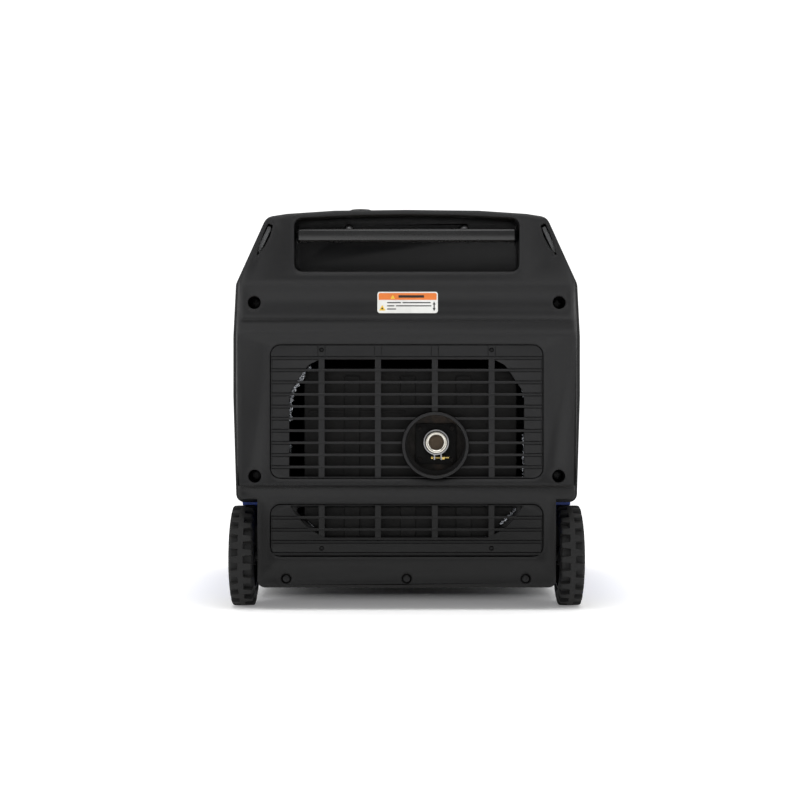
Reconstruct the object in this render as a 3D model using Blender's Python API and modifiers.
"""Portable inverter generator: a closed plastic case on two rear wheels and two front feet.

The exhaust end faces -Y, the control panel end faces +Y, and +Z is up. The origin is on the
ground, under the middle of the case. Left is -X and right is +X, as seen from the exhaust end.
Sizes are written in millimetres, and every helper that makes a mesh turns them into metres.
"""

import math

import bmesh
import bpy
from mathutils import Matrix, Vector

MM = 0.001

# Case
HALF_LENGTH = 310.0
CASE_HALF_WIDTH = 217.0
CASE_BOTTOM = 31.0
UPPER_CASE_BOTTOM = 133.5
LOWER_HALF_WIDTH = 183.2
LOWER_PANEL = (185.2, 28.8)  # half width and bottom of the panel at the exhaust end
WALL = 3.0
GAP = 0.3
RIM_START = 276.0  # from the middle of the case to the step between an end's face block and its rim
RIM_END = 240.0
FACE_STEP_IN = 5.0
FACE_SIDE_RADIUS = 21.0
COVER_SPLIT = 393.3  # where the side covers meet the top cover
TUB_TOP = 140.0

# Exhaust end: the face steps back under each of its bands
FACE_BANDS = (
    (406.5, 402.0, 306.5),
    (363.5, 359.0, 303.0),
    (346.5, 342.0, 299.5),
    (155.5, 151.5, 295.5),
)
UPPER_GRILLE = (-169.0, 169.0, 164.2, 329.9)
LOWER_GRILLE = (-169.3, 169.3, 67.1, 132.1)
GRILLE_CORNER = 12.6
GRILLE_RIBS = (-104.9, -35.0, 35.5, 105.8)
LOUVRE_PITCH = 15.0
LOUVRE_HEIGHT = 3.0
COLLAR_CENTRE = (35.5, 205.3)
COLLAR_RADIUS = 41.3
COLLAR_WALL = 3.6
PIPE_CENTRE = (36.7, 208.8)
PIPE_RADIUS = 13.9
PIPE_BORE = 9.6
CORNER_BOLTS = ((-188.3, 381.8), (188.3, 381.8), (-188.3, 167.0), (188.3, 167.0))

# Hand recesses
REAR_RECESS = (-139.0, 139.0, 419.5, 486.0)
FRONT_RECESS = (-150.0, 150.0, 425.0, 487.0)
RECESS_DEPTH = 47.0
RAIL_CENTRE = (176.5, 459.8)
RAIL_DIRECTION = Vector((0.428, -0.904))  # down the shoulder, in X and Z
RAIL_HALF_WIDTH = 18.0
RAIL_THICKNESS = 5.0

# Running gear
WHEEL_RADIUS = 63.5
WHEEL_Y = -235.0
WHEEL_SPAN = (190.5, 222.5)
AXLE_RADIUS = 7.5
FOOT_PLACE = (150.0, 225.0)

# Engine and generator
CRANK_Z = 150.0
SHAFT_RADIUS = 12.0
REEL_Y = 126.0
REEL_ROPE_RADIUS = 49.5
ROPE_RADIUS = 2.0

# Fuel
FILLER = (-61.0, -110.0)

# Pull handle
HANDLE_X = 118.0
HANDLE_Z = 455.0
TUBE_RADIUS = 9.3

# Control panel
PANEL = (-162.0, 162.0, 153.3, 393.7)
PANEL_FACE = 290.0
DIAL_PLACE = (-110.0, 340.0)
ECO_PLACE = (52.0, 352.0)
START_PLACE = (110.0, 345.0)
BREAKER_PLACE = (110.0, 190.0)
OUTLET_PLACES = {"left_outlet_cover": -95.0, "right_outlet_cover": -10.0}
OUTLET_BAND = (210.0, 280.0)
LID_PIN_Y = 296.0

# Maintenance door, in the right side cover
DOOR = (-130.0, 70.0, 150.0, 350.0)

for leftover in list(bpy.data.objects):
    bpy.data.objects.remove(leftover)

parts = bpy.data.collections.new("portable_generator")
cutters = bpy.data.collections.new("cutters")
for collection in (parts, cutters):
    bpy.context.scene.collection.children.link(collection)
cutters.hide_render = True

# Local axes of a flat outline and its thickness, turned so that the thickness runs along X, Y or Z
LAYOUTS = {
    "X": Matrix(((0, 0, 1, 0), (1, 0, 0, 0), (0, 1, 0, 0), (0, 0, 0, 1))),
    "Y": Matrix(((1, 0, 0, 0), (0, 0, -1, 0), (0, 1, 0, 0), (0, 0, 0, 1))),
    "Z": Matrix.Identity(4),
}


# ---------------------------------------------------------------- materials


def linear(value):
    """One sRGB channel from 0 to 255 as the linear value that a shader takes."""
    share = value / 255
    return share / 12.92 if share <= 0.04045 else ((share + 0.055) / 1.055) ** 2.4


def material(name, colour, roughness, metallic=0.0):
    made = bpy.data.materials.new(name)
    made.use_nodes = True
    shader = made.node_tree.nodes["Principled BSDF"]
    shader.inputs["Base Color"].default_value = (*(linear(c) for c in colour), 1)
    shader.inputs["Roughness"].default_value = roughness
    shader.inputs["Metallic"].default_value = metallic
    return made


black_plastic = material("black_plastic", (44, 45, 48), 0.5)
dark_plastic = material("dark_plastic", (24, 25, 28), 0.45)
blue_plastic = material("blue_plastic", (30, 62, 140), 0.35)
grey_plastic = material("grey_plastic", (150, 150, 150), 0.5)
red_plastic = material("red_plastic", (190, 40, 30), 0.4)
rubber = material("rubber", (34, 34, 35), 0.8)
cast_aluminium = material("cast_aluminium", (170, 172, 175), 0.5, 0.9)
machined_steel = material("machined_steel", (190, 190, 190), 0.3, 1.0)
exhaust_steel = material("exhaust_steel", (60, 58, 55), 0.6, 0.8)
stainless_steel = material("stainless_steel", (200, 198, 190), 0.3, 1.0)
painted_steel = material("painted_steel", (120, 122, 124), 0.4, 0.3)
copper_winding = material("copper_winding", (150, 80, 45), 0.4, 0.8)
clear_lens = material("clear_lens", (30, 40, 45), 0.1)
rope_fibre = material("rope_fibre", (40, 40, 42), 0.9)


# ---------------------------------------------------------------- shape helpers


def as_cutter(name, mesh):
    """A new object that stays out of the model until publish() takes it in."""
    made = bpy.data.objects.new(name, mesh)
    made.hide_render = True
    made.display_type = "WIRE"
    cutters.objects.link(made)
    return made


def box(name, x, y, z):
    """A box between the (low, high) pairs x, y and z."""
    sides = [high - low for low, high in (x, y, z)]
    middle = Vector([(low + high) / 2 for low, high in (x, y, z)])
    work = bmesh.new()
    placed = Matrix.Translation(middle * MM) @ Matrix.Diagonal((*(s * MM for s in sides), 1))
    bmesh.ops.create_cube(work, size=1, matrix=placed)
    mesh = bpy.data.meshes.new(name)
    work.to_mesh(mesh)
    work.free()
    return as_cutter(name, mesh)


def rod(name, axis, centre, span, radius, segments=24, end_radius=None):
    """A cylinder or cone along an axis. centre holds its two other coordinates, in X, Y, Z order."""
    low, high = span
    a, b = centre
    middle = (low + high) / 2
    place = {"X": (middle, a, b), "Y": (a, middle, b), "Z": (a, b, middle)}[axis]
    along = Vector([float(axis == side) for side in "XYZ"])
    turn = Vector((0, 0, 1)).rotation_difference(along).to_matrix().to_4x4()
    work = bmesh.new()
    bmesh.ops.create_cone(
        work,
        cap_ends=True,
        segments=segments,
        radius1=radius * MM,
        radius2=(radius if end_radius is None else end_radius) * MM,
        depth=(high - low) * MM,
        matrix=Matrix.Translation(Vector(place) * MM) @ turn,
    )
    mesh = bpy.data.meshes.new(name)
    work.to_mesh(mesh)
    work.free()
    return as_cutter(name, mesh)


def rounded(corners):
    """The points of a closed outline given as (a, b, radius) corners, with each radius as an arc."""
    points = []
    for i, (a, b, radius) in enumerate(corners):
        here = Vector((a, b))
        back = (Vector(corners[i - 1][:2]) - here).normalized()
        ahead = (Vector(corners[(i + 1) % len(corners)][:2]) - here).normalized()
        if radius <= 0:
            points.append(here)
            continue
        half_angle = back.angle(ahead) / 2
        reach = radius / math.tan(half_angle)
        centre = here + (back + ahead).normalized() * radius / math.sin(half_angle)
        first = here + back * reach - centre
        sweep = (here + ahead * reach - centre).angle_signed(first)
        steps = max(2, round(abs(sweep) / math.radians(22)))
        points += [centre + Matrix.Rotation(sweep * k / steps, 2) @ first for k in range(steps + 1)]
    return points


def inset(corners, by):
    """A convex outline with every side moved inwards. The corners run anticlockwise."""
    moved = []
    for i, (a, b, radius) in enumerate(corners):
        here = Vector((a, b))
        before = (here - Vector(corners[i - 1][:2])).normalized()
        after = (Vector(corners[(i + 1) % len(corners)][:2]) - here).normalized()
        normals = [Vector((-side.y, side.x)) for side in (before, after)]
        shift = (normals[0] + normals[1]) / (1 + normals[0].dot(normals[1])) * by
        moved.append((a + shift.x, b + shift.y, max(radius - by, 0)))
    return moved


def rectangle(sides, radius=0.0):
    """The corners of a rectangle given as (low a, high a, low b, high b)."""
    low_a, high_a, low_b, high_b = sides
    places = ((low_a, low_b), (high_a, low_b), (high_a, high_b), (low_a, high_b))
    return [(a, b, radius) for a, b in places]


def mirrored(right):
    """An outline that is symmetric about the Z axis, from the corners of its right half, going up."""
    return list(right) + [(-a, b, radius) for a, b, radius in reversed(right) if a > 0]


def prism(name, axis, corners, span):
    """An outline with a thickness. Its two coordinates are the other axes, in X, Y, Z order."""
    low, high = span
    curve = bpy.data.curves.new(name, "CURVE")
    curve.dimensions = "2D"
    curve.fill_mode = "BOTH"
    curve.extrude = (high - low) / 2 * MM
    outline = rounded(corners)
    spline = curve.splines.new("POLY")
    spline.points.add(len(outline) - 1)
    for point, place in zip(spline.points, outline):
        point.co = (place.x * MM, place.y * MM, 0, 1)
    spline.use_cyclic_u = True
    guide = bpy.data.objects.new(name + "_outline", curve)
    cutters.objects.link(guide)
    bpy.context.view_layer.update()
    mesh = bpy.data.meshes.new_from_object(guide.evaluated_get(bpy.context.evaluated_depsgraph_get()))
    bpy.data.objects.remove(guide)
    middle = Vector([(low + high) / 2 if axis == side else 0 for side in "XYZ"])
    mesh.transform(Matrix.Translation(middle * MM) @ LAYOUTS[axis])
    work = bmesh.new()
    work.from_mesh(mesh)
    bmesh.ops.remove_doubles(work, verts=work.verts, dist=1e-6)
    bmesh.ops.recalc_face_normals(work, faces=work.faces)
    work.to_mesh(mesh)
    work.free()
    return as_cutter(name, mesh)


def combine(target, operation, *tools):
    """Cuts the tools from the target, joins them to it, or keeps what they share."""
    for tool in tools:
        step = target.modifiers.new(operation.lower(), "BOOLEAN")
        step.operation = operation
        step.object = tool
    return target


def cut(target, *tools):
    return combine(target, "DIFFERENCE", *tools)


def join(target, *tools):
    return combine(target, "UNION", *tools)


def keep(target, *tools):
    return combine(target, "INTERSECT", *tools)


def round_edges(target, width, segments=2, angle=40):
    step = target.modifiers.new("rounded_edges", "BEVEL")
    step.width = width * MM
    step.segments = segments
    step.limit_method = "ANGLE"
    step.angle_limit = math.radians(angle)
    return target


def publish(piece, name, finish, origin=None, round_piece=False):
    """Takes a finished shape into the model. A moving piece names a point on its joint's axis."""
    piece.name = name
    piece.hide_render = False
    piece.display_type = "TEXTURED"
    cutters.objects.unlink(piece)
    parts.objects.link(piece)
    piece.data.materials.clear()
    piece.data.materials.append(finish)
    if origin is not None:
        point = Vector(origin) * MM
        piece.data.transform(Matrix.Translation(-point))
        piece.location = point
    if round_piece:
        piece.data.shade_smooth()
        piece.data.set_sharp_from_angle(angle=math.radians(35))
    return piece


# ---------------------------------------------------------------- case outline


def case_corners(bottom, bottom_half_width, bottom_radius):
    """The case seen from an end: slightly tapered sides, sloping shoulders and a crowned top."""
    return mirrored(
        [
            (bottom_half_width, bottom, bottom_radius),
            (CASE_HALF_WIDTH, 266, 0),
            (CASE_HALF_WIDTH, 341, 0),
            (213.7, 406.6, 14),
            (175.5, 490.5, 13.5),
            (150, 494.5, 0),
            (90, 498.5, 0),
            (0, 499.5, 0),
        ]
    )


REAR_CORNERS = case_corners(UPPER_CASE_BOTTOM, 213.2, 10)
FULL_CORNERS = case_corners(CASE_BOTTOM, 209.5, 12)


def face_profile(back_off):
    """The exhaust end seen from the side, in Y and Z: each band sits a little behind the one above."""
    lowest = -FACE_BANDS[-1][2] + back_off
    front = HALF_LENGTH
    profile = [(lowest, 10, 0), (-200, 10, 0), (-200, 520, 0), (-front + back_off, 520, 0)]
    for upper_edge, lower_edge, behind in FACE_BANDS:
        profile.append((-front + back_off, upper_edge, 0))
        profile.append((-behind + back_off, lower_edge, 0))
        front = behind
    return profile


def face_plan(half_width, back_off, radius):
    """An end block seen from above: the face turns into the sides on a wide radius."""
    front = -HALF_LENGTH + back_off
    near = [(-half_width, front, radius), (half_width, front, radius)]
    return near + [(half_width, -200, 0), (-half_width, -200, 0)]


def end_block(name, corners, thinner, at_exhaust_end):
    """The block behind an end's face, thinner by a wall thickness where it is the hollow inside."""
    narrowed = inset(corners, FACE_STEP_IN + thinner)
    block = prism(name, "Y", narrowed, (-HALF_LENGTH - 2, -RIM_START + 4))
    half_width = CASE_HALF_WIDTH - FACE_STEP_IN - thinner
    plan = face_plan(half_width, thinner, FACE_SIDE_RADIUS - thinner)
    limits = [prism(name + "_plan", "Z", plan, (0, 530))]
    if at_exhaust_end:
        limits.append(prism(name + "_bands", "X", face_profile(thinner), (-230, 230)))
    else:
        for piece in (block, *limits):
            piece.rotation_euler = (0, 0, math.pi)
    return keep(block, *limits)


def shoulder_outline(side, along, across_low, across_high):
    """A strip beside the lift rail's centre, in X and Z. along and across are from that centre."""
    down = Vector((RAIL_DIRECTION.x, RAIL_DIRECTION.y))
    out = Vector((-down.y, down.x))
    centre = Vector(RAIL_CENTRE)
    high, low = along
    places = [(high, across_low), (low, across_low), (low, across_high), (high, across_high)]
    points = [centre + down * u + out * v for u, v in places]
    return [(side * p.x, p.y, 0) for p in points][:: side]


def lens_outline(side):
    """The slot in an end cover that shows the end of a lift rail: blunt at the top, thin at the bottom."""
    down = Vector((RAIL_DIRECTION.x, RAIL_DIRECTION.y))
    out = Vector((-down.y, down.x))
    centre = Vector(RAIL_CENTRE) - out * 1.5
    shape = ((-20, -2.0), (-6, -4.2), (8, -3.4), (21, -0.5), (21, 0.5), (8, 3.0), (-6, 4.4), (-20, 4.6))
    points = [centre + down * u + out * v for u, v in shape]
    return [(side * p.x, p.y, 0) for p in points][:: side]


# ---------------------------------------------------------------- exhaust end


def make_rear_cover():
    cover = end_block("rear_cover_block", REAR_CORNERS, 0, True)
    rim = prism("rear_rim", "Y", REAR_CORNERS, (-RIM_START, -RIM_END))
    lower_corners = mirrored([(LOWER_PANEL[0], LOWER_PANEL[1], 9), (LOWER_PANEL[0], 145, 0)])
    lower = prism("rear_lower_panel", "Y", lower_corners, (-295.5, -284.6))
    join(cover, rim, lower)
    hollow = end_block("rear_hollow", REAR_CORNERS, WALL, True)
    rim_hollow = prism("rear_rim_hollow", "Y", inset(REAR_CORNERS, WALL), (-RIM_START + WALL, -RIM_END + 1))
    lower_hollow = prism("rear_lower_hollow", "Y", inset(lower_corners, WALL), (-292.5, -284))
    passage = box("rear_passage", (-184.5, 184.5), (-284.8, -RIM_END + 1), (120, 150))
    upper_way = box("rear_upper_way", (-180, 180), (-292.5, -280), (125, 150))
    cut(cover, hollow, rim_hollow, lower_hollow, passage, upper_way)
    back = -HALF_LENGTH + RECESS_DEPTH
    recess_walls = box("rear_recess_walls", (-142.5, 142.5), (-308, back + WALL), (416, 495))
    under_face = prism("rear_under_face", "Y", inset(REAR_CORNERS, FACE_STEP_IN + 1), (-309, back + WALL + 1))
    keep(recess_walls, under_face)
    upper_ledge = box("upper_ledge", (-175, 175), (-297.4, -288.9), (157.5, 336))
    lower_ledge = box("lower_ledge", (-175, 175), (-293.4, -284.9), (60, 139))
    join(cover, recess_walls, upper_ledge, lower_ledge)
    for i, (x, z) in enumerate(CORNER_BOLTS):
        face = next((behind for upper, _, behind in reversed(FACE_BANDS[:3]) if z < upper), HALF_LENGTH)
        join(cover, rod(f"bolt_boss_{i}", "Y", (x, z), (-face + 1.5, -266), 11, 16))
    low_x, high_x, low_z, high_z = REAR_RECESS
    mouth = [(high_x, low_z, 10), (high_x, high_z, 10), (66, 489.7, 0), (0, 490.8, 0)]
    mouth += [(-66, 489.7, 0), (low_x, high_z, 10), (low_x, low_z, 10)]
    recess = prism("rear_recess", "Y", mouth, (-320, back))
    upper_seat = prism("upper_seat", "Y", inset(rectangle(UPPER_GRILLE, GRILLE_CORNER), -GAP), (-320, -292.4))
    lower_seat = prism("lower_seat", "Y", inset(rectangle(LOWER_GRILLE, GRILLE_CORNER), -GAP), (-320, -288.4))
    cut(cover, recess, upper_seat, lower_seat)
    cut(cover, prism("upper_window", "Y", upper_window(), (-295, -280)))
    cut(cover, prism("lower_window", "Y", lower_window(), (-291, -280)), collar_cutter("cover_collar_hole"))
    for i, (x, z) in enumerate(CORNER_BOLTS):
        cut(cover, rod(f"bolt_pocket_{i}", "Y", (x, z), (-320, -270), 8.15, 16))
    for side in (-1, 1):
        cut(cover, prism(f"rear_lens_{side}", "Y", lens_outline(side), (-320, -296)))
    return publish(cover, "rear_cover", black_plastic)


def upper_window():
    """The opening behind the upper grille: wide arcs at the top, small ones at the bottom."""
    return [(-145.6, 168.5, 6), (145.6, 168.5, 6), (145.6, 311.7, 37), (-145.6, 311.7, 37)]


def lower_window():
    """The opening behind the lower grille, which narrows downwards."""
    return [(-103, 91.4, 6), (103, 91.4, 6), (142.7, 127.8, 4), (-142.7, 127.8, 4)]


def collar_cutter(name):
    return rod(name, "Y", COLLAR_CENTRE, (-320, -280), COLLAR_RADIUS + GAP + 0.2, 32)


def make_grille(name, sides, window, louvres, front, border_top, hole=None):
    """A grille insert: a thin plate with a window, a raised border, ribs and louvres across it."""
    low_x, high_x, low_z, high_z = sides
    plate = prism(name + "_plate", "Y", rectangle(sides, GRILLE_CORNER), (-front + 1.8, -front + 6.4))
    cut(plate, prism(name + "_window", "Y", window, (-front - 5, -front + 12)))
    border = prism(name + "_border", "Y", rectangle(sides, GRILLE_CORNER), (-front, -front + 2.4))
    inner = (low_x + 3, high_x - 3, low_z + 4, high_z - border_top)
    cut(border, prism(name + "_inner", "Y", rectangle(inner, GRILLE_CORNER - 3), (-front - 5, -front + 6)))
    join(plate, border)
    for i, z in enumerate(louvres):
        height = (z - LOUVRE_HEIGHT / 2, z + LOUVRE_HEIGHT / 2)
        join(plate, box(f"{name}_louvre_{i}", (low_x + 2, high_x - 2), (-front, -front + 6), height))
    for i, x in enumerate(GRILLE_RIBS):
        depth = (-front + 0.4, -front + 5.6)
        join(plate, box(f"{name}_rib_{i}", (x - 3.7, x + 3.7), depth, (low_z + 2, high_z - 2)))
    keep(plate, prism(name + "_limit", "Y", rectangle(sides, GRILLE_CORNER), (-front - 5, -front + 12)))
    if hole is not None:
        cut(plate, hole)
    return publish(plate, name, black_plastic)


def make_exhaust():
    collar = rod("collar", "Y", COLLAR_CENTRE, (-303.5, -272), COLLAR_RADIUS, 32)
    cut(collar, rod("collar_bore", "Y", COLLAR_CENTRE, (-310, -262), COLLAR_RADIUS - COLLAR_WALL, 32))
    publish(collar, "exhaust_collar", black_plastic, round_piece=True)

    muffler = round_edges(box("muffler_case", (-95, 125), (-268, -195), (150, 285)), 14, 2)
    join(muffler, rod("muffler_port", "Y", (0, 245), (-200, -130.3), 16, 20))
    hollow = box("muffler_hollow", (-91, 121), (-264, -199), (154, 281))
    outlet = rod("muffler_outlet", "Y", PIPE_CENTRE, (-280, -250), PIPE_BORE, 20)
    inlet = rod("muffler_inlet", "Y", (0, 245), (-210, -120), 12, 20)
    cut(muffler, round_edges(hollow, 11, 1), outlet, inlet)
    publish(muffler, "muffler", exhaust_steel)

    pipe = rod("pipe", "Y", PIPE_CENTRE, (-300, -268 - GAP), PIPE_RADIUS, 24)
    cut(pipe, rod("pipe_bore", "Y", PIPE_CENTRE, (-310, -260), PIPE_BORE, 24))
    publish(pipe, "tailpipe", stainless_steel, round_piece=True)

    screen = rod("screen", "Y", PIPE_CENTRE, (-297.5, -290), PIPE_BORE - 0.4, 20)
    publish(round_edges(screen, 2.5, 1), "spark_arrestor", exhaust_steel, round_piece=True)

    clamp = rod("clamp", "Y", PIPE_CENTRE, (-292, -282), PIPE_RADIUS + 3.2, 24)
    screw_block = box("clamp_screw_block", (29, 48.5), (-293.5, -281), (184, 193))
    join(clamp, screw_block)
    cut(clamp, rod("clamp_bore", "Y", PIPE_CENTRE, (-300, -275), PIPE_RADIUS + GAP + 0.1, 24))
    publish(clamp, "pipe_clamp", machined_steel)


def make_rear_grip():
    front = -HALF_LENGTH + 3.5
    back = -HALF_LENGTH + RECESS_DEPTH
    bar = round_edges(box("grip_bar", (-135.5, 135.5), (front, front + 20), (457.3, 473.3)), 3, 2)
    for side in (-1, 1):
        across = sorted((side * 125.5, side * 135.3))
        join(bar, box(f"grip_arm_{side}", across, (front + 12, back - GAP), (459, 471.5)))
    publish(bar, "rear_grip_bar", dark_plastic)


# ---------------------------------------------------------------- control panel end


def make_front_cover():
    cover = end_block("front_cover_block", FULL_CORNERS, 0, False)
    join(cover, prism("front_rim", "Y", FULL_CORNERS, (RIM_END, RIM_START)))
    hollow = end_block("front_hollow", FULL_CORNERS, WALL, False)
    rim_hollow = prism("front_rim_hollow", "Y", inset(FULL_CORNERS, WALL), (RIM_END - 1, RIM_START - WALL))
    cut(cover, hollow, rim_hollow)
    low_x, high_x, low_z, high_z = FRONT_RECESS
    back = HALF_LENGTH - RECESS_DEPTH + 2
    reach = ((low_x - 3, high_x + 3), (back - WALL, 308), (low_z - 3, high_z + 1.2))
    join(cover, box("front_recess_walls", *reach))
    low_x, high_x, low_z, high_z = PANEL
    join(cover, box("panel_walls", (low_x - 4, high_x + 4), (PANEL_FACE - 7.5, 308), (low_z - 4, high_z + 4)))
    cut(cover, prism("front_recess", "Y", rectangle(FRONT_RECESS, 10), (back, 320)))
    cut(cover, prism("panel_seat", "Y", inset(rectangle(PANEL, 10), -GAP), (PANEL_FACE - 3.8, 320)))
    window = ((low_x + 10, high_x - 10), (PANEL_FACE - 12, PANEL_FACE), (low_z + 10, high_z - 10))
    cut(cover, box("panel_window", *window))
    for i in range(6):
        low = 56 + 12 * i
        cut(cover, prism(f"intake_slot_{i}", "Y", rectangle((-140, 140, low, low + 6), 3), (300, 320)))
    for side in (-1, 1):
        cut(cover, rod(f"handle_hole_{side}", "Y", (side * HANDLE_X, HANDLE_Z), (250, 275), 10.2, 20))
        cut(cover, prism(f"front_lens_{side}", "Y", lens_outline(side), (296, 320)))
    publish(cover, "front_cover", black_plastic)


def make_control_panel():
    panel = prism("panel_plate", "Y", rectangle(PANEL, 10), (PANEL_FACE - 3.5, PANEL_FACE))
    eco_x, eco_z = ECO_PLACE
    cut(panel, box("eco_opening", (eco_x - 8.6, eco_x + 8.6), (280, 300), (eco_z - 12.9, eco_z + 12.9)))
    cut(panel, rod("start_opening", "Y", START_PLACE, (280, 300), 10.6, 20))
    cut(panel, rod("breaker_opening", "Y", BREAKER_PLACE, (280, 300), 5.5, 16))
    for i, x in enumerate(OUTLET_PLACES.values()):
        for z in (228, 262):
            cut(panel, rod(f"outlet_opening_{i}_{z}", "Y", (x, z), (280, 300), 13, 20))
    publish(panel, "control_panel", dark_plastic)

    front = PANEL_FACE + GAP
    dial = rod("dial", "Y", DIAL_PLACE, (front, front + 8), 22, 24)
    dial_x, dial_z = DIAL_PLACE
    reach = ((dial_x - 4, dial_x + 4), (front + 4, front + 15), (dial_z - 19, dial_z + 19))
    join(dial, round_edges(box("dial_grip", *reach), 2, 2))
    publish(dial, "engine_dial", red_plastic, origin=(dial_x, PANEL_FACE, dial_z))

    rocker = box("rocker", (eco_x - 8, eco_x + 8), (PANEL_FACE - 3, PANEL_FACE + 5), (eco_z - 12, eco_z + 12))
    made = publish(rocker, "eco_switch", dark_plastic, origin=(eco_x, PANEL_FACE, eco_z))
    made.rotation_euler = (math.radians(-8), 0, 0)

    start_x, start_z = START_PLACE
    button = rod("button", "Y", START_PLACE, (PANEL_FACE - 3, PANEL_FACE + 7), 10, 24)
    publish(round_edges(button, 1.5, 1), "start_button", grey_plastic, origin=(start_x, PANEL_FACE, start_z))

    breaker_x, breaker_z = BREAKER_PLACE
    reset = rod("reset", "Y", BREAKER_PLACE, (PANEL_FACE - 3.5, PANEL_FACE + 6), 5, 16)
    publish(reset, "breaker_button", dark_plastic, origin=(breaker_x, PANEL_FACE, breaker_z))

    publish(box("lens", (-62, 18), (front, front + 2.4), (332, 374)), "display_lens", clear_lens)

    for name, x in OUTLET_PLACES.items():
        low, high = OUTLET_BAND
        lid = round_edges(box(name + "_lid", (x - 33, x + 33), (front, front + 11), (low, high)), 3, 2)
        cut(lid, box(name + "_inside", (x - 30, x + 30), (front - 2, front + 8), (low + 3, high - 3)))
        publish(lid, name, dark_plastic, origin=(x, LID_PIN_Y, high))

    socket = rod("socket", "Y", (102, 250), (front, front + 8), 27, 24)
    cut(socket, rod("socket_face", "Y", (102, 250), (front + 5, front + 12), 22, 24))
    publish(socket, "twistlock_outlet", dark_plastic)
    terminal = rod("terminal_nut", "Y", (-140, 180), (front, front + 6), 8, 6)
    join(terminal, rod("terminal_stud", "Y", (-140, 180), (front + 3, front + 12), 3, 12))
    publish(terminal, "ground_terminal", machined_steel)


def make_pull_handle():
    for side, hand in ((-1, "left"), (1, "right")):
        centre = (side * HANDLE_X, HANDLE_Z)
        guide = rod("guide", "Y", centre, (-110, 261.5), 12.5, 20)
        cut(guide, rod("guide_bore", "Y", centre, (-106, 270), TUBE_RADIUS + 0.5, 20))
        publish(guide, f"{hand}_handle_guide", painted_steel, round_piece=True)
        tube = rod("tube", "Y", centre, (-100, 288 - GAP), TUBE_RADIUS, 20)
        front = (side * HANDLE_X, 288, HANDLE_Z)
        publish(tube, f"{hand}_handle_tube", machined_steel, origin=front, round_piece=True)
    grip = round_edges(box("grip", (-139, 139), (288, 308), (HANDLE_Z - 11, HANDLE_Z + 11)), 5, 3)
    cut(grip, box("button_pocket", (-16, 16), (297, 315), (449, 461)))
    publish(grip, "pull_grip", dark_plastic, origin=(0, 288, HANDLE_Z))
    button = round_edges(box("release", (-15.4, 15.4), (301, 309.5), (449.6, 460.4)), 1, 2)
    publish(button, "release_button", red_plastic, origin=(0, 305, HANDLE_Z))


# ---------------------------------------------------------------- sides, top and base


def cover_shell(name, low_y, high_y):
    """The skin of the middle of the case, from one end cover to the other, open at the bottom."""
    skin = prism(name, "Y", inset(FULL_CORNERS, GAP), (low_y, high_y))
    inside = inset(FULL_CORNERS, GAP + WALL)
    lowered = [(a, b - 20 if b < 60 else b, radius) for a, b, radius in inside]
    return cut(skin, prism(name + "_inside", "Y", lowered, (low_y - 5, high_y + 5)))


def make_side_cover(side, name):
    cover = cover_shell(name + "_skin", -RIM_END + 0.5, RIM_END - 0.5)
    keep(cover, box(name + "_reach", sorted((side * 195, side * 230)), (-300, 300), (46, COVER_SPLIT)))
    cut(cover, rod(name + "_arch", "X", (WHEEL_Y, WHEEL_RADIUS), sorted((side * 180, side * 240)), 73, 32))
    cut(cover, box(name + "_arch_foot", sorted((side * 180, side * 240)), (-300, -162), (0, WHEEL_RADIUS)))
    if side < 0:
        z = CRANK_Z + REEL_ROPE_RADIUS
        join(cover, box("grip_dish_walls", (-214.5, -196.5), (REEL_Y - 43, REEL_Y + 43), (z - 20, z + 20)))
        dish = rectangle((REEL_Y - 40, REEL_Y + 40, z - 17, z + 17), 12)
        cut(cover, prism("grip_dish", "X", dish, (-230, -199.5)))
        cut(cover, rod("rope_eyelet", "X", (REEL_Y, z), (-210, -190), 6.5, 16))
    else:
        low_y, high_y, low_z, high_z = DOOR
        cut(cover, prism("door_opening", "X", rectangle(DOOR, 12), (180, 240)))
        door = cover_shell("door_skin", low_y - 10, high_y + 10)
        inner = inset(rectangle(DOOR, 12), 1.2)
        keep(door, prism("door_shape", "X", inner, (195, 240)))
        publish(door, "maintenance_door", blue_plastic, origin=(CASE_HALF_WIDTH, low_y, (low_z + high_z) / 2))
        latch = rod("latch", "X", (high_y - 22, 250), (CASE_HALF_WIDTH + 0.2, 223), 12, 24)
        join(latch, box("latch_grip", (219, 225.5), (high_y - 24, high_y - 20), (240, 260)))
        publish(latch, "door_latch", dark_plastic, origin=(CASE_HALF_WIDTH, high_y - 22, 250))
    publish(cover, name, blue_plastic)


def make_top_cover():
    cover = cover_shell("top_skin", -RIM_END + 0.5, RIM_END - 0.5)
    keep(cover, box("top_reach", (-230, 230), (-300, 300), (COVER_SPLIT + 0.6, 520)))
    skin = prism("top_limit", "Y", inset(FULL_CORNERS, GAP), (-300, 300))
    for side in (-1, 1):
        walls = prism(f"trough_walls_{side}", "Y", shoulder_outline(side, (-27, 41), -25, 20), (-188, 188))
        keep(walls, skin)
        join(cover, walls)
    for side in (-1, 1):
        cut(cover, prism(f"trough_{side}", "Y", shoulder_outline(side, (-24, 38), -22, 30), (-185, 185)))
        reach = RAIL_HALF_WIDTH + 0.5
        thick = RAIL_THICKNESS / 2 + 0.5
        way = shoulder_outline(side, (-reach, reach), -thick, thick)
        cut(cover, prism(f"rail_way_{side}", "Y", way, (-235, 235)))
    cut(cover, rod("filler_hole", "Z", FILLER, (480, 520), 25.5, 32))
    publish(cover, "top_cover", black_plastic)


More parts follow.
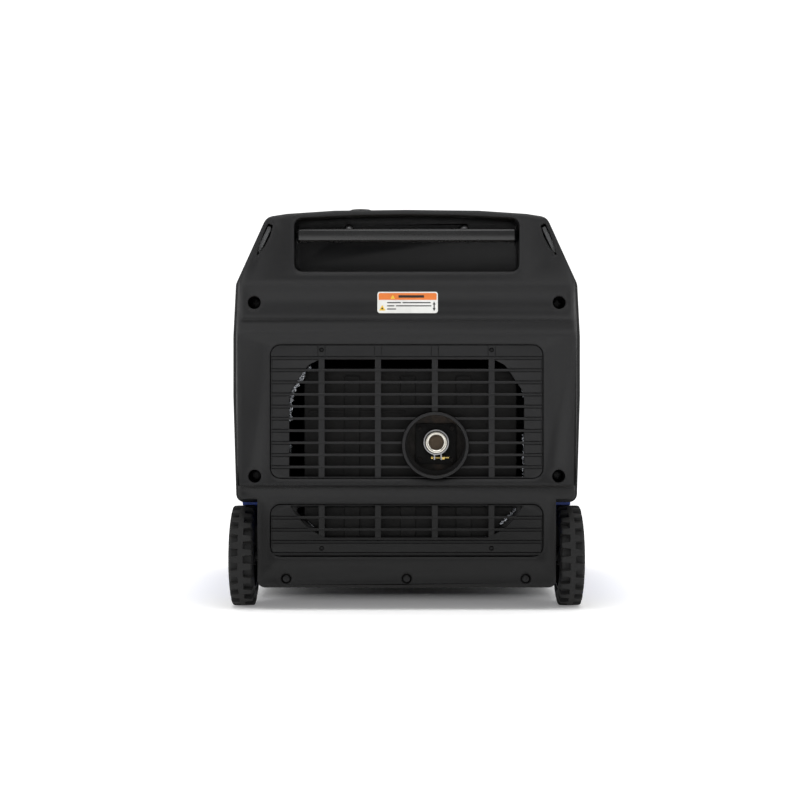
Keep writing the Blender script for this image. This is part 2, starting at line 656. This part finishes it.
def make_lift_rails():
    half = RAIL_THICKNESS / 2
    for side, name in ((-1, "left_lift_rail"), (1, "right_lift_rail")):
        outline = shoulder_outline(side, (-RAIL_HALF_WIDTH, RAIL_HALF_WIDTH), -half, half)
        rail = prism(name + "_bar", "Y", outline, (-302, 302))
        publish(round_edges(rail, 1.5, 2), name, grey_plastic)


def make_base():
    """The base tub is narrow between the wheels and full width in front of them."""
    shoulder, rear, front, wide = -160, -284, 236, 204.5
    height = (CASE_BOTTOM, TUB_TOP)
    outline = mirrored([(LOWER_HALF_WIDTH, CASE_BOTTOM, 12), (LOWER_HALF_WIDTH, TUB_TOP, 0)])
    tub = prism("tub_narrow", "Y", outline, (rear, shoulder + 10))
    join(tub, box("tub_wide", (-wide, wide), (shoulder, front), height))
    narrow = LOWER_HALF_WIDTH - WALL
    above = (CASE_BOTTOM + WALL, TUB_TOP + 10)
    inner = mirrored([(narrow, CASE_BOTTOM + WALL, 9), (narrow, TUB_TOP + 10, 0)])
    cut(tub, prism("tub_narrow_inside", "Y", inner, (rear + WALL, shoulder + 20)))
    cut(tub, box("tub_wide_inside", (WALL - wide, wide - WALL), (shoulder + WALL, front - WALL), above))
    cut(tub, box("tub_rear_window", (-165, 165), (rear - 5, rear + WALL + 3), (60, TUB_TOP + 10)))
    for side in (-1, 1):
        across = sorted((side * (LOWER_HALF_WIDTH - 1), side * 208.5))
        lip = box(f"well_lip_{side}", across, (-239.5, -236), (2 * WHEEL_RADIUS + 1, TUB_TOP - 0.8))
        join(tub, lip, box(f"well_roof_{side}", across, (-237, -158), (136.2, TUB_TOP - 0.8)))
    cut(tub, rod("axle_hole", "X", (WHEEL_Y, WHEEL_RADIUS), (-230, 230), AXLE_RADIUS + 0.4, 24))
    publish(tub, "base_tub", blue_plastic)
    foot_x, foot_y = FOOT_PLACE
    for side, name in ((-1, "left_foot"), (1, "right_foot")):
        foot = rod(name + "_pad", "Z", (side * foot_x, foot_y), (0, CASE_BOTTOM - GAP), 20, 24, 17)
        publish(foot, name, rubber, round_piece=True)


def make_wheels():
    axle = rod("axle", "X", (WHEEL_Y, WHEEL_RADIUS), (-220, 220), AXLE_RADIUS, 16)
    publish(axle, "wheel_axle", machined_steel, round_piece=True)
    low, high = WHEEL_SPAN
    for side, hand in ((-1, "left"), (1, "right")):
        centre = (WHEEL_Y, WHEEL_RADIUS)
        origin = (side * (low + high) / 2, WHEEL_Y, WHEEL_RADIUS)
        rim = rod("rim", "X", centre, sorted((side * (low + 1.5), side * (high - 1.5))), 42, 32)
        for tag, span in (("outer", (high - 11, high + 5)), ("inner", (low - 5, low + 11))):
            dish = rod(f"rim_dish_{tag}", "X", centre, sorted(side * s for s in span), 37, 24)
            across = sorted(side * s for s in (low - 9, high + 9))
            cut(dish, rod(f"rim_hub_{tag}", "X", centre, across, 14, 16))
            cut(rim, dish)
        cut(rim, rod("rim_bore", "X", centre, sorted((side * 180, side * 240)), AXLE_RADIUS + 0.5, 16))
        publish(rim, f"{hand}_wheel_rim", dark_plastic, origin=origin, round_piece=True)
        tyre = rod("tyre", "X", centre, sorted((side * low, side * high)), WHEEL_RADIUS, 40)
        round_edges(tyre, 3.5, 2)
        cut(tyre, rod("tyre_bore", "X", centre, sorted((side * 180, side * 240)), 42 + GAP + 0.3, 32))
        publish(tyre, f"{hand}_tyre", rubber, origin=origin, round_piece=True)


# ---------------------------------------------------------------- engine and generator


def make_engine():
    block = round_edges(box("crankcase", (-95, 95), (-150, -5), (62, 225)), 12, 2)
    join(block, box("barrel", (-46, 46), (-124, -36), (215, 262)))
    for i in range(4):
        z = 229 + 9 * i
        join(block, box(f"barrel_fin_{i}", (-55, 55), (-130, -30), (z, z + 3)))
    for i, (x, y) in enumerate(((-70, -130), (70, -130), (-70, -25), (70, -25))):
        height = (CASE_BOTTOM + WALL + GAP, 75)
        join(block, box(f"engine_foot_{i}", (x - 14, x + 14), (y - 12, y + 12), height))
    cut(block, rod("crank_chamber", "Y", (0, CRANK_Z), (-112, -42), 48, 24))
    cut(block, rod("crank_bore", "Y", (0, CRANK_Z), (-130, 5), SHAFT_RADIUS + 0.6, 16))
    publish(block, "engine_block", cast_aluminium)

    head = box("head_core", (-48, 48), (-126, -34), (262 + GAP, 296))
    for i in range(3):
        z = 266 + 8 * i
        join(head, box(f"head_fin_{i}", (-58, 58), (-129.8, -28), (z, z + 3)))
    publish(head, "cylinder_head", cast_aluminium)

    plug = rod("plug_body", "X", (-80, 285), (-70, -58 - GAP), 7, 6)
    join(plug, rod("plug_boot", "X", (-80, 285), (-98, -68), 10, 16))
    publish(plug, "spark_plug", dark_plastic)

    carburettor = box("carburettor_body", (55 + GAP, 100), (-98, -62), (229, 260))
    join(carburettor, rod("float_bowl", "Z", (78, -80), (226, 240), 14, 20))
    publish(carburettor, "carburettor", cast_aluminium)
    cleaner = round_edges(box("cleaner_case", (100 + GAP, 188), (-122, -22), (205, 300)), 8, 2)
    publish(cleaner, "air_cleaner", dark_plastic)
    filler = rod("oil_cap", "X", (-120, 92), (95 + GAP, 112), 13, 12)
    publish(filler, "oil_filler_cap", red_plastic)


def make_rotating_group():
    origin = (0, 0, CRANK_Z)
    shaft = rod("shaft", "Y", (0, CRANK_Z), (-116, 108), SHAFT_RADIUS, 16)
    for tag, span in (("rear", (-108, -90)), ("front", (-64, -46))):
        join(shaft, rod(f"web_{tag}", "Y", (0, CRANK_Z), span, 42, 20))
    publish(shaft, "crankshaft", machined_steel, origin=origin)

    stator = rod("stator", "Y", (0, CRANK_Z), (-5 + GAP, 46), 55, 24)
    cut(stator, rod("stator_bore", "Y", (0, CRANK_Z), (-10, 60), 20, 16))
    for i in range(12):
        turn = 2 * math.pi * i / 12
        slot = box(f"stator_slot_{i}", (32, 70), (4, 60), (-3, 3))
        slot.matrix_world = Matrix.Translation((0, 0, CRANK_Z * MM)) @ Matrix.Rotation(turn, 4, "Y")
        cut(stator, slot)
    publish(stator, "alternator_stator", copper_winding)

    rotor = rod("rotor", "Y", (0, CRANK_Z), (0, 58), 72, 32)
    cut(rotor, rod("rotor_inside", "Y", (0, CRANK_Z), (-10, 50), 57.5, 28))
    cut(rotor, rod("rotor_bore", "Y", (0, CRANK_Z), (40, 70), SHAFT_RADIUS + 0.6, 16))
    publish(rotor, "alternator_rotor", painted_steel, origin=origin)

    fan = rod("fan_disc", "Y", (0, CRANK_Z), (58 + GAP, 62), 78, 28)
    join(fan, rod("fan_hub", "Y", (0, CRANK_Z), (60, 88), 22, 16))
    for i in range(10):
        turn = Matrix.Rotation(2 * math.pi * i / 10, 4, "Y") @ Matrix.Rotation(math.radians(28), 4, "Y")
        blade = box(f"fan_blade_{i}", (30, 76), (61, 86), (-1.5, 1.5))
        lean = Matrix.Rotation(math.radians(18), 4, "Y")
        blade.matrix_world = Matrix.Translation((0, 0, CRANK_Z * MM)) @ turn @ lean
        join(fan, blade)
    cut(fan, rod("fan_bore", "Y", (0, CRANK_Z), (50, 95), SHAFT_RADIUS + 0.6, 16))
    publish(fan, "cooling_fan", dark_plastic, origin=origin)


def make_starter():
    rope_z = CRANK_Z + REEL_ROPE_RADIUS
    housing = rod("housing", "Y", (0, CRANK_Z), (-5 + GAP, 146), 95, 32)
    cut(housing, rod("housing_inside", "Y", (0, CRANK_Z), (-10, 142), 91.5, 32))
    join(housing, rod("reel_post", "Y", (0, CRANK_Z), (112, 144), 8, 12))
    for i in range(8):
        turn = 2 * math.pi * (i + 0.5) / 8
        place = (68 * math.cos(turn), CRANK_Z + 68 * math.sin(turn))
        cut(housing, rod(f"housing_vent_{i}", "Y", place, (135, 150), 14, 12))
    cut(housing, rod("housing_rope_hole", "X", (REEL_Y, rope_z), (-110, -60), 6, 16))
    publish(housing, "recoil_housing", painted_steel)

    hub_radius = REEL_ROPE_RADIUS - ROPE_RADIUS - 0.4
    reel = rod("reel_hub", "Y", (0, CRANK_Z), (REEL_Y - 9.5, REEL_Y + 9.5), hub_radius, 28)
    for tag, span in (("rear", (REEL_Y - 10, REEL_Y - 6)), ("front", (REEL_Y + 6, REEL_Y + 10))):
        join(reel, rod(f"reel_flange_{tag}", "Y", (0, CRANK_Z), span, 56, 28))
    cut(reel, rod("reel_bore", "Y", (0, CRANK_Z), (REEL_Y - 20, REEL_Y + 20), 8.6, 12))
    publish(reel, "recoil_reel", dark_plastic, origin=(0, REEL_Y, CRANK_Z))

    rope = rod("rope", "X", (REEL_Y, rope_z), (-201, -2), ROPE_RADIUS, 12)
    publish(rope, "starter_rope", rope_fibre, origin=(-201, REEL_Y, rope_z), round_piece=True)
    reach = ((-215, -204), (REEL_Y - 34, REEL_Y + 34), (rope_z - 9, rope_z + 9))
    grip = round_edges(box("starter_bar", *reach), 3, 2)
    join(grip, rod("starter_stem", "X", (REEL_Y, rope_z), (-206, -201 - GAP), 5, 16))
    publish(grip, "starter_grip", dark_plastic, origin=(-204, REEL_Y, rope_z))


def make_electrics():
    module = box("module_case", (-168, 5), (162, 228), (36, 128))
    for i in range(11):
        x = -164 + 16 * i
        cut(module, box(f"module_gap_{i}", (x, x + 9), (150, 240), (112, 140)))
    publish(module, "inverter_module", cast_aluminium)
    battery = box("battery_case", (40, 160), (165, 228), (36, 125))
    for tag, span in (("minus", (52, 64)), ("plus", (136, 148))):
        join(battery, box(f"battery_pole_{tag}", span, (175, 190), (120, 132)))
    publish(battery, "battery", dark_plastic)


def make_fuel_system():
    tank = round_edges(box("tank", (-150, 150), (-150, 150), (312, 430)), 18, 2)
    join(tank, rod("neck", "Z", FILLER, (420, 500), 23.5, 24))
    inside = round_edges(box("tank_inside", (-147, 147), (-147, 147), (315, 427)), 15, 1)
    cut(tank, inside, rod("neck_bore", "Z", FILLER, (410, 510), 20.8, 24))
    publish(tank, "fuel_tank", dark_plastic)
    x, y = FILLER
    gasket = rod("gasket", "Z", FILLER, (500 + GAP, 502.3), 23, 24)
    cut(gasket, rod("gasket_bore", "Z", FILLER, (490, 510), 19.2, 24))
    publish(gasket, "cap_gasket", rubber, origin=(x, y, 500))
    cap = rod("cap", "Z", FILLER, (502.3 + GAP, 511.5), 31, 36, 29.5)
    for i in range(18):
        turn = 2 * math.pi * i / 18
        place = (x + 31.5 * math.cos(turn), y + 31.5 * math.sin(turn))
        cut(cap, rod(f"cap_flute_{i}", "Z", place, (495, 510), 2.6, 8))
    join(cap, rod("cap_shoulder", "Z", FILLER, (511, 514.5), 26, 36, 23))
    join(cap, rod("cap_crown", "Z", FILLER, (513, 517.3), 21.5, 36, 13))
    join(cap, rod("cap_plug", "Z", FILLER, (484, 510), 18.5, 20))
    publish(cap, "fuel_cap", dark_plastic, origin=(x, y, 510))


make_rear_cover()
collar_hole = collar_cutter("grille_collar_hole")
upper_louvres = [UPPER_GRILLE[3] - 15.3 - LOUVRE_PITCH * i for i in range(10)]
lower_louvres = [LOWER_GRILLE[3] - 15.5 - LOUVRE_PITCH * i for i in range(4)]
make_grille("upper_rear_grille", UPPER_GRILLE, upper_window(), upper_louvres, 299.2, 13, collar_hole)
make_grille("lower_rear_grille", LOWER_GRILLE, lower_window(), lower_louvres, 295.2, 4)
make_exhaust()
make_rear_grip()
make_front_cover()
make_control_panel()
make_pull_handle()
make_side_cover(-1, "left_side_cover")
make_side_cover(1, "right_side_cover")
make_top_cover()
make_lift_rails()
make_base()
make_wheels()
make_engine()
make_rotating_group()
make_starter()
make_electrics()
make_fuel_system()
bpy.context.view_layer.update()
